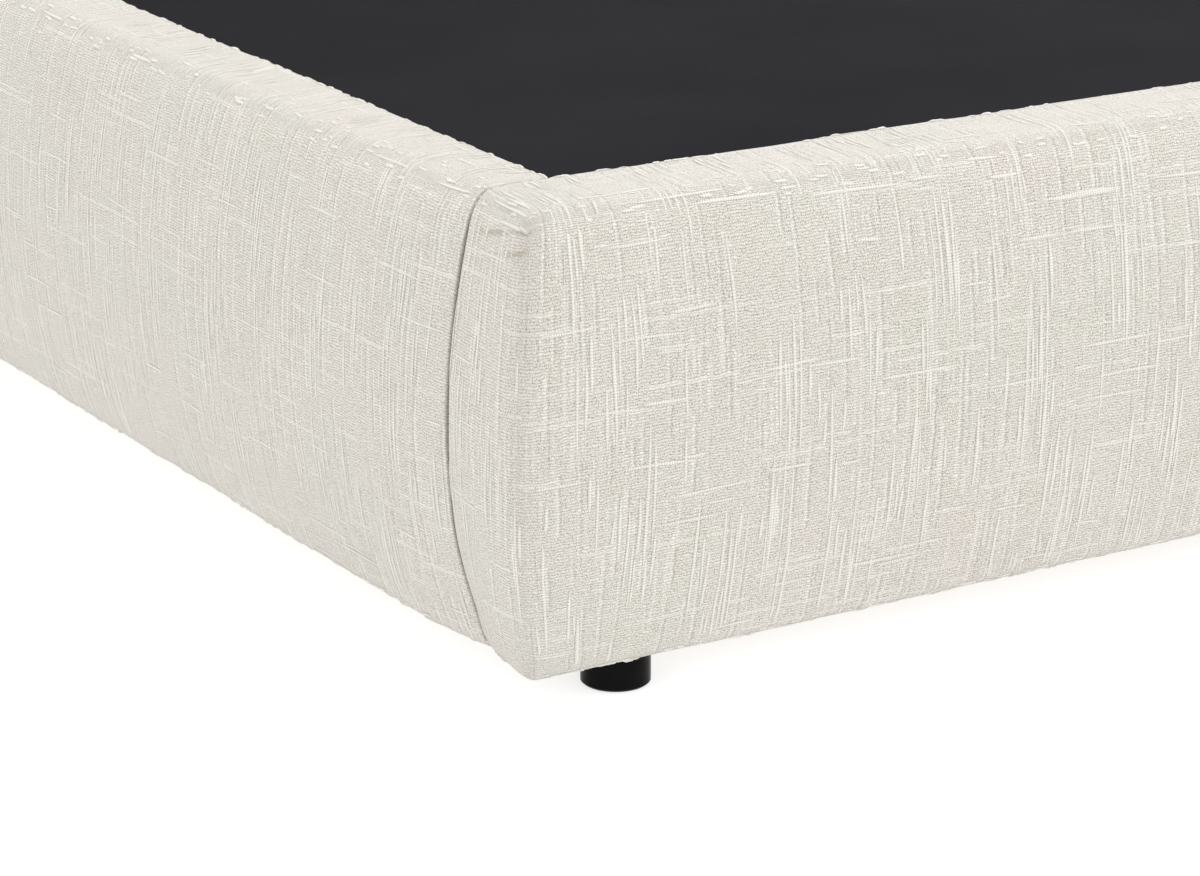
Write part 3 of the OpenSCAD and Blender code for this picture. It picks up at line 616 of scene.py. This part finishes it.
def crease(tree, u, v, height, start, end):
    """A short fold across each return of the foot rail, rising towards the front: its height
    at the corner, and where it starts and ends along the return. Its mask dips the bump and
    also darkens the colour as a painted shade in the fold."""
    slope, half_width = 0.17, 0.0017
    from_middle = maths(tree, "ABSOLUTE", maths(tree, "SUBTRACT", u, APART * FOOT_SEED))
    along = maths(tree, "SUBTRACT", from_middle, X_OUT)
    line = maths(tree, "SUBTRACT", height, maths(tree, "MULTIPLY", along, slope))
    off = maths(tree, "DIVIDE", maths(tree, "SUBTRACT", v, line), half_width)
    fold = maths(tree, "POWER", math.e, maths(tree, "MULTIPLY", maths(tree, "MULTIPLY", off, off), -1.0))
    opening = maths(tree, "DIVIDE", maths(tree, "SUBTRACT", along, start), 0.015, clamp=True)
    closing = maths(tree, "DIVIDE", maths(tree, "SUBTRACT", end, along), 0.035, clamp=True)
    return maths(tree, "MULTIPLY", fold, maths(tree, "MULTIPLY", opening, closing))


def slub_fabric(name):
    """The covers' fabric: bump and colour from its ribs, warp dots, slubs, fuzz and creases.
    The creases' darkening, a dark line beside each single slub and the dark of the seams are painted shade.
    """
    made, tree, shader = new_finish(name, 0.9, Specular_IOR_Level=0.15, Sheen_Weight=0.25,
                                    Sheen_Roughness=0.5)
    cloth = add(tree, "ShaderNodeUVMap", uv_map="cloth").outputs[0]
    # The yarns wander slowly off their lines, and tremble from bead to bead.
    loose = cloth
    for scale, reach in ((24.0, 0.0032), (190.0, 0.0034)):
        shift = add(tree, "ShaderNodeTexNoise", {"Vector": cloth, "Scale": scale, "Detail": 2.0}).outputs[1]
        shift = add(tree, "ShaderNodeVectorMath", {0: shift, 1: (0.5, 0.5, 0.5)},
                    operation="SUBTRACT").outputs[0]
        shift = add(tree, "ShaderNodeVectorMath", {0: shift, "Scale": reach}, operation="SCALE").outputs[0]
        loose = add(tree, "ShaderNodeVectorMath", {0: loose, 1: shift}).outputs[0]
    split = add(tree, "ShaderNodeSeparateXYZ", {0: loose})
    u, v = split.outputs[0], split.outputs[1]

    rows = maths(tree, "DIVIDE", v, RIB)
    ribs = maths(tree, "ABSOLUTE", maths(tree, "SINE", maths(tree, "MULTIPLY", rows, math.pi)))
    odd = maths(tree, "MULTIPLY", maths(tree, "FLOOR", rows), 0.5)
    columns = maths(tree, "ADD", maths(tree, "DIVIDE", u, GRAIN), odd)
    dots = maths(tree, "COSINE", maths(tree, "MULTIPLY", columns, 2 * math.pi))
    dots = maths(tree, "ADD", maths(tree, "MULTIPLY", dots, 0.5), 0.5)
    fuzz = add(tree, "ShaderNodeTexNoise", {"Vector": cloth, "Scale": 820.0, "Detail": 3.0,
                                           "Roughness": 0.75}).outputs[0]
    lumps = add(tree, "ShaderNodeTexNoise", {"Vector": cloth, "Scale": 230.0, "Detail": 2.0}).outputs[0]
    weave = maths(tree, "MULTIPLY", ribs, maths(tree, "ADD", maths(tree, "MULTIPLY", dots, 0.5), 0.5))
    weave = maths(tree, "MULTIPLY", weave, maths(tree, "ADD", lumps, 0.4))

    crowd = add(tree, "ShaderNodeMapping", {"Vector": cloth, "Scale": (15.0, 7.0, 1.0)}).outputs[0]
    crowd = add(tree, "ShaderNodeTexNoise", {"Vector": crowd, "Scale": 1.0, "Detail": 2.0}).outputs[0]
    crowd = maths(tree, "MULTIPLY", maths(tree, "SUBTRACT", crowd, 0.40, clamp=True), 5.0, clamp=True)
    bundles = slub_field(tree, u, v, 0.0058, 0.060, 0.0016, 0.030, 0.70, 3)
    bundles = maths(tree, "MULTIPLY", bundles, crowd)
    singles = slub_field(tree, u, v, 0.012, 0.090, 0.0018, 0.042, 0.60, 11)
    cross = slub_field(tree, v, u, 0.013, 0.100, 0.0016, 0.042, 0.45, 23)
    cross = maths(tree, "MULTIPLY", cross, 0.8)
    slubs = maths(tree, "MAXIMUM", maths(tree, "MAXIMUM", bundles, singles), cross)
    beads = maths(tree, "ADD", maths(tree, "MULTIPLY", ribs, 0.5), 0.5)
    slubs = maths(tree, "MULTIPLY", slubs, beads)
    # A line beside each single slub: a dip in the bump and a painted shadow in the colour.
    slub_dip_and_shadow = maths(tree, "SUBTRACT", u, 0.0024)
    slub_dip_and_shadow = slub_field(tree, slub_dip_and_shadow, v, 0.012, 0.090, 0.0013, 0.040, 0.60, 11)

    height = maths(tree, "ADD", maths(tree, "MULTIPLY", weave, 0.60), maths(tree, "MULTIPLY", fuzz, 0.60))
    height = maths(tree, "ADD", height, maths(tree, "MULTIPLY", slubs, 0.8))
    height = maths(tree, "SUBTRACT", height, maths(tree, "MULTIPLY", slub_dip_and_shadow, 0.3))
    flat = add(tree, "ShaderNodeSeparateXYZ", {0: cloth})
    creases = maths(tree, "ADD", crease(tree, flat.outputs[0], flat.outputs[1], 0.348, -0.012, 0.092),
                    crease(tree, flat.outputs[0], flat.outputs[1], 0.334, -0.008, 0.056))
    height = maths(tree, "SUBTRACT", height, maths(tree, "MULTIPLY", creases, 1.7))
    bump(tree, shader, height, 0.0011, 0.9)

    mottle = add(tree, "ShaderNodeTexNoise", {"Vector": cloth, "Scale": 6.5, "Detail": 4.0}).outputs[0]
    mottle = maths(tree, "MULTIPLY", maths(tree, "SUBTRACT", mottle, 0.32), 2.8, clamp=True)
    stain = add(tree, "ShaderNodeTexNoise", {"Vector": cloth, "Scale": 11.0, "Detail": 3.0}).outputs[0]
    ground = blend_colour(tree, mottle, (0.775, 0.718, 0.672), (0.745, 0.734, 0.660))
    ground = blend_colour(tree, maths(tree, "MULTIPLY", stain, 0.35), ground, (0.78, 0.755, 0.70))
    crowded = maths(tree, "MULTIPLY", crowd, 0.45)
    deep = blend_colour(tree, crowded, (0.40, 0.37, 0.325), (0.345, 0.30, 0.235))
    lift = maths(tree, "ADD", maths(tree, "MULTIPLY", weave, 0.9), maths(tree, "MULTIPLY", fuzz, 0.75),
                 clamp=True)
    # Painted shadow: beside each single slub the colour darkens towards the deep ground.
    lift = maths(tree, "SUBTRACT", lift, maths(tree, "MULTIPLY", slub_dip_and_shadow, 0.3), clamp=True)
    specks = add(tree, "ShaderNodeTexNoise", {"Vector": cloth, "Scale": 760.0, "Detail": 1.0}).outputs[0]
    specks = maths(tree, "MULTIPLY", maths(tree, "SUBTRACT", 0.45, specks), 9.0, clamp=True)
    lift = maths(tree, "SUBTRACT", lift, maths(tree, "MULTIPLY", specks, 0.85), clamp=True)
    colour = blend_colour(tree, lift, deep, ground)
    # Painted shade: the fabric darkens towards a dull brown along the creases.
    colour = blend_colour(tree, maths(tree, "MULTIPLY", creases, 0.7), colour, (0.44, 0.38, 0.28))
    colour = blend_colour(tree, maths(tree, "MULTIPLY", slubs, 0.95, clamp=True), colour,
                          (0.87, 0.85, 0.80))
    # Painted shade: the fabric's colour darkens to a dark brown where it turns into a butt seam.
    seam = add(tree, "ShaderNodeAttribute", attribute_name="painted_seam_shade").outputs["Fac"]
    colour = blend_colour(tree, maths(tree, "MULTIPLY", seam, 0.8), colour, (0.22, 0.19, 0.15))
    tree.links.new(colour, shader.inputs["Base Color"])
    return made


def yarn_finish(name):
    """The raised yarns: a soft loose twist, a little paler than the ground."""
    made, tree, shader = new_finish(name, 0.9, Specular_IOR_Level=0.15, Sheen_Weight=0.3,
                                    Sheen_Roughness=0.5)
    cloth = add(tree, "ShaderNodeUVMap", uv_map="cloth").outputs[0]
    fuzz = add(tree, "ShaderNodeTexNoise", {"Vector": cloth, "Scale": 900.0, "Detail": 3.0,
                                           "Roughness": 0.7}).outputs[0]
    pale = add(tree, "ShaderNodeTexNoise", {"Vector": cloth, "Scale": 40.0, "Detail": 1.0}).outputs[0]
    split = add(tree, "ShaderNodeSeparateXYZ", {0: cloth})
    beads = maths(tree, "MULTIPLY", split.outputs[1], math.pi / RIB)
    beads = maths(tree, "ABSOLUTE", maths(tree, "SINE", beads))
    colour = blend_colour(tree, pale, (0.765, 0.745, 0.69), (0.855, 0.835, 0.785))
    shadow = maths(tree, "MULTIPLY", maths(tree, "SUBTRACT", 1.0, beads), 0.45)
    shadow = maths(tree, "ADD", shadow, maths(tree, "MULTIPLY", fuzz, 0.15))
    colour = blend_colour(tree, shadow, colour, (0.58, 0.54, 0.46))
    tree.links.new(colour, shader.inputs["Base Color"])
    height = maths(tree, "ADD", maths(tree, "MULTIPLY", beads, 0.7), maths(tree, "MULTIPLY", fuzz, 0.4))
    bump(tree, shader, height, 0.0007, 0.9)
    return made


fabric = slub_fabric("slub_fabric")
yarn = yarn_finish("slub_yarn")


def clothe(piece, slubs, node):
    """Gives a padded piece and its yarns their finish and puts them in the CAD piece's place."""
    for part, finish in ((piece, fabric), (slubs, yarn)):
        part.data.materials.clear()
        part.data.materials.append(finish)
        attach(part, "bed")
    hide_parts(node + "_cover", node + "_foam")


clothe(left_rail, left_slubs, "left_rail")
clothe(right_rail, right_slubs, "right_rail")
clothe(foot, foot_slubs, "foot_rail")

# ---- Headboard: the same fabric over a thicker pad ----
# The fabric is pulled over foam on the posts, rails and panel, and stapled behind. Its front
# edges are soft, and its front is full in the middle and lies back a little round the outline.

HEAD_FRONT_R = 0.032     # front edges above the rails
HEAD_BACK_R = 0.010      # back edges, and front edges where the rails meet them
HEAD_CORNER_R = 0.045    # top corners of the outline
HEAD_DISH = 0.012        # how far the front lies back at its edges
HEAD_STEP = 0.022        # grid of its fabric before it is smoothed
HEAD_HEM = 0.040         # width of the stapled hem round its back
HEAD_FULLNESS = 0.004    # how far its cover may be blown up
HEAD_UNEVEN = 0.0012     # depth of its slight unevenness
LOW_BAND = 0.03          # height of the bottom edge's own rounding

head_lo, head_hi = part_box("headboard_cover")


def headboard(seed):
    """The cover of the headboard."""
    lo, hi = head_lo, head_hi
    xs = stations(lo.x, hi.x, HEAD_CORNER_R, HEAD_CORNER_R, HEAD_STEP)
    ys = stations(lo.y, hi.y, HEAD_FRONT_R, HEAD_BACK_R)
    zs = stations(lo.z, hi.z, LOW_R, HEAD_CORNER_R, HEAD_STEP)
    points, faces, sides = block(xs, ys, zs)
    flat = points.copy()
    share = (flat[:, 1] - lo.y) / (hi.y - lo.y)
    # First the outline's two top corners, then the soft edges round the front and the back.
    outline = points.copy()
    x_core = hi.x - HEAD_CORNER_R
    z_core = hi.z - HEAD_CORNER_R
    dx = np.maximum(np.abs(points[:, 0]) - x_core, 0)
    dz = np.maximum(points[:, 2] - z_core, 0)
    reach = np.maximum(np.hypot(dx, dz), 1e-9)
    corner = (dx > 0) & (dz > 0)
    squeeze = np.where(corner, np.maximum(dx, dz) / reach, 1.0)
    outline[:, 0] = np.sign(points[:, 0]) * (np.minimum(np.abs(points[:, 0]), x_core) + dx * squeeze)
    outline[:, 2] = np.minimum(points[:, 2], z_core) + dz * squeeze
    # Distance in from the outline, and the edge's quarter turn.
    inset = HEAD_CORNER_R - np.maximum(dx, dz)
    low_inset = flat[:, 2] - lo.z
    inset = np.minimum(inset, low_inset + 0.02)
    # The front edge is soft above the rails and tighter where their ends meet it.
    above = smooth((flat[:, 2] - Z_TOP) / 0.15)
    front_r = HEAD_BACK_R + (HEAD_FRONT_R - HEAD_BACK_R) * above
    r = np.where(share < 0.5, front_r, HEAD_BACK_R)
    r = np.where(low_inset < LOW_BAND, np.minimum(r, LOW_R), r)
    depth = np.minimum(flat[:, 1] - lo.y, hi.y - flat[:, 1])
    a = np.clip(r - inset, 0, None)
    b = np.clip(r - depth, 0, None)
    both = np.maximum(np.hypot(a, b), 1e-9)
    turn = (a > 0) & (b > 0)
    shrink = np.where(turn, r / both, 1.0)
    new_a, new_b = a * np.minimum(shrink, 1), b * np.minimum(shrink, 1)
    # Pull the point in, away from the outline's edges and from the front or the back.
    edge_x = np.where(dx > 0, np.sign(points[:, 0]), 0)
    edge_z = np.where(dz > 0, 1.0, 0) - np.where(low_inset < LOW_BAND, 1.0, 0)
    length = np.maximum(np.hypot(edge_x, edge_z), 1e-9)
    points = outline
    points[:, 0] -= edge_x / length * (a - new_a)
    points[:, 2] -= edge_z / length * (a - new_a)
    points[:, 1] += np.where(share < 0.5, 1, -1) * (b - new_b)
    # Above the rails the front crowns: full in the middle, lying back towards the edges.
    sx = 1 - (flat[:, 0] / hi.x) ** 6
    sz = 1 - np.abs((flat[:, 2] - (lo.z + hi.z) / 2) / ((hi.z - lo.z) / 2)) ** 6
    points[:, 1] += HEAD_DISH * above * (1 - sx * sz) * np.clip(1 - share * 2, 0, 1)
    coordinates = []
    for quad, (axis, end) in zip(faces, sides):
        for n in quad:
            x, y, zz = flat[n]
            if axis == 1:
                u, v = (x, zz) if end < 0 else (3 * X_OUT + 0.2 - x, zz)
            elif axis == 2:
                u, v = x, (zz + y - lo.y if end > 0 else zz - (y - lo.y))
            else:
                u, v = end * (X_OUT + y - lo.y), zz
            coordinates.append((u + APART * seed, v))
    piece = upholstered("headboard_upholstery", points, faces, coordinates)
    held = np.maximum((share > 0.55) * 1.0, (flat[:, 2] < lo.z + 0.02) * 1.0)
    puff(piece, held, HEAD_FULLNESS)
    settle(piece, seed, HEAD_UNEVEN)
    reach = X_OUT + hi.y - lo.y
    back_edge = hi.z + (hi.y - lo.y)
    edges = ((hi.z + 0.01, 0.02, 0.35), (back_edge, 0.005, 1))
    slubs = yarns(piece, "headboard_slub_yarns", (APART * seed - reach, APART * seed + reach),
                  (0.20, back_edge), seed, edges, upright=750)
    panel, frame_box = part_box("headboard_front_panel"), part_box("headboard_left_post")
    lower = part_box("headboard_lower_board")
    hollow(piece,
           ((panel[0].x, panel[0].y, panel[0].z), (panel[1].x, frame_box[1].y, panel[1].z)),
           ((lower[0].x, lower[0].y, lower[0].z), (lower[1].x, panel[0].y + 0.001, lower[1].z)),
           ((lo.x + HEAD_HEM, frame_box[1].y - 0.001, lo.z + HEAD_HEM),
            (hi.x - HEAD_HEM, hi.y + 0.01, hi.z - HEAD_HEM)),
           ((-X_IN - 0.002, lo.y - 0.03, lo.z + HEM),
            (X_IN + 0.002, lower[0].y + 0.001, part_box("head_ledger")[1].z + HEM_GAP)))
    return piece, slubs


head, head_slubs = headboard(4)
clothe(head, head_slubs, "headboard")

# ---- Black felt on the deck, and the cloth on the headboard's back ----
# Thin needled polyester, matt black: stretched over the deck panels, stapled on the back.

felt, tree, shader = new_finish("black_felt", 0.85, Specular_IOR_Level=0.08)
place = add(tree, "ShaderNodeTexCoord").outputs["Object"]
fibres = add(tree, "ShaderNodeTexNoise", {"Vector": place, "Scale": 1400.0, "Detail": 3.0}).outputs[0]
patches = add(tree, "ShaderNodeTexNoise", {"Vector": place, "Scale": 5.0, "Detail": 4.0}).outputs[0]
tree.links.new(blend_colour(tree, patches, (0.0050, 0.0046, 0.0070), (0.0135, 0.0130, 0.0160)),
               shader.inputs["Base Color"])
bump(tree, shader, fibres, 0.0003, 0.5)


def felt_sheet(node, seed):
    """A deck panel's felt, with faint soft wrinkles."""
    lo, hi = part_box(node)
    bpy.ops.object.select_all(action="DESELECT")
    bpy.ops.mesh.primitive_grid_add(x_subdivisions=90, y_subdivisions=60, size=1,
                                    location=((lo.x + hi.x) / 2, (lo.y + hi.y) / 2, hi.z - 0.0002))
    piece = bpy.context.object
    piece.name = piece.data.name = node + "_cloth"
    piece.scale = (hi.x - lo.x, hi.y - lo.y, 1)
    bpy.ops.object.transform_apply(location=True, scale=True)
    for v in piece.data.vertices:
        v.co.z += 0.0022 * max(0.0, noise.noise(Vector((v.co.x * 2.6, v.co.y * 7.0, seed))))
    thick = piece.modifiers.new("Thick", "SOLIDIFY")
    thick.thickness, thick.offset = hi.z - lo.z - 0.0004, -1
    bpy.ops.object.modifier_apply(modifier=thick.name)
    piece.data.shade_smooth()
    piece.data.materials.append(felt)
    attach(piece, "bed")
    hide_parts(node)
    return piece


felt_sheet("deck_felt_foot", 0.3)
felt_sheet("deck_felt_head", 5.3)
dress(felt, "back_cloth", "headboard_back_cloth")

# ---- Feet and levellers: turned black plastic feet, and steel glides on screws ----
# Each corner stands on a short round moulded foot, held by one screw from below. The centre
# legs stand on steel glides, whose threaded stems turn in inserts to level the deck.

THREAD = 0.00125     # pitch of a glide's stem

plastic, tree, shader = new_finish("black_plastic", 0.22, Specular_IOR_Level=0.05)
place = add(tree, "ShaderNodeTexCoord").outputs["Object"]
grain = add(tree, "ShaderNodeTexNoise", {"Vector": place, "Scale": 1100.0, "Detail": 2.0}).outputs[0]
scuff = add(tree, "ShaderNodeTexNoise", {"Vector": place, "Scale": 60.0, "Detail": 5.0}).outputs[0]
tree.links.new(blend_colour(tree, scuff, (0.0030, 0.0028, 0.0032), (0.0055, 0.0052, 0.0058)),
               shader.inputs["Base Color"])
bump(tree, shader, grain, 0.00008, 0.5)
dress(plastic, "black_plastic", "foot_front_left", "foot_front_right", "foot_back_left",
      "foot_back_right")

glide, tree, shader = new_finish("black_zinc", 0.35, Metallic=0.8)
place = add(tree, "ShaderNodeTexCoord").outputs["Object"]
split = add(tree, "ShaderNodeSeparateXYZ", {0: place})
thread = maths(tree, "PINGPONG", split.outputs[2], THREAD / 2)
thread = maths(tree, "MULTIPLY", thread, 2 / THREAD)
tree.links.new(blend_colour(tree, thread, (0.05, 0.05, 0.05), (0.10, 0.10, 0.10)),
               shader.inputs["Base Color"])
bump(tree, shader, thread, 0.0005, 0.6)
dress(glide, "leveller_steel", "leveller_foot", "leveller_middle", "leveller_head")

# ---- Studio: floor, surround, lamps and camera ----
# A white floor and a white surround, a large soft box overhead, one in front on the right and
# a weak one on the left. The camera looks down at the front left corner with a long lens.

bpy.ops.object.select_all(action="DESELECT")
bpy.ops.mesh.primitive_plane_add(size=60, location=(0, 0, -0.0005))
floor = bpy.context.object
floor.name = "floor"
pale, tree, shader = new_finish("pale_floor", 0.9, Specular_IOR_Level=0.0)
shader.inputs["Base Color"].default_value = (0.5, 0.5, 0.5, 1)
shader.inputs["Emission Color"].default_value = (1, 1, 1, 1)
shader.inputs["Emission Strength"].default_value = 0.72
floor.data.materials.append(pale)

world = bpy.data.worlds.new("surround")
bpy.context.scene.world = world
world.use_nodes = True
world.node_tree.nodes["Background"].inputs[0].default_value = (1, 1, 1, 1)
world.node_tree.nodes["Background"].inputs[1].default_value = 1.0


def soft_box(name, place, target, size, power):
    data = bpy.data.lights.new(name, "AREA")
    data.shape, data.size, data.energy = "SQUARE", size, power
    lamp = bpy.data.objects.new(name, data)
    bpy.context.scene.collection.objects.link(lamp)
    lamp.location = place
    lamp.rotation_euler = (Vector(target) - Vector(place)).to_track_quat("-Z", "Y").to_euler()


soft_box("overhead", (0.2, -0.6, 4.2), (0, -0.4, 0.3), 3.0, 102)
soft_box("front_right", (4.2, -3.6, 2.2), (0, -1.0, 0.2), 2.0, 40)
soft_box("left", (-4.4, 1.3, 2.2), (-0.8, -0.4, 0.2), 2.4, 10)

foot_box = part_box("foot_front_left")
foot_centre = (foot_box[0] + foot_box[1]) / 2
BESIDE_FOOT = 1.4185       # from the foot to the camera: to the left,
BEFORE_FOOT = 2.3029       # towards the front
CAMERA_HEIGHT = 1.0537     # and above the floor
LOOKS_DOWN = 17.92         # degrees below level
TURNED = 31.4              # degrees to the right of the bed's length
camera_data = bpy.data.cameras.new("camera")
camera_data.lens = 123.4
camera_data.clip_end = 200
camera = bpy.data.objects.new("camera", camera_data)
bpy.context.scene.collection.objects.link(camera)
camera.location = (foot_centre.x - BESIDE_FOOT, foot_centre.y - BEFORE_FOOT, CAMERA_HEIGHT)
camera.rotation_euler = (math.radians(90 - LOOKS_DOWN), 0, math.radians(-TURNED))
bpy.context.scene.camera = camera
bpy.context.scene.view_settings.view_transform = "Standard"
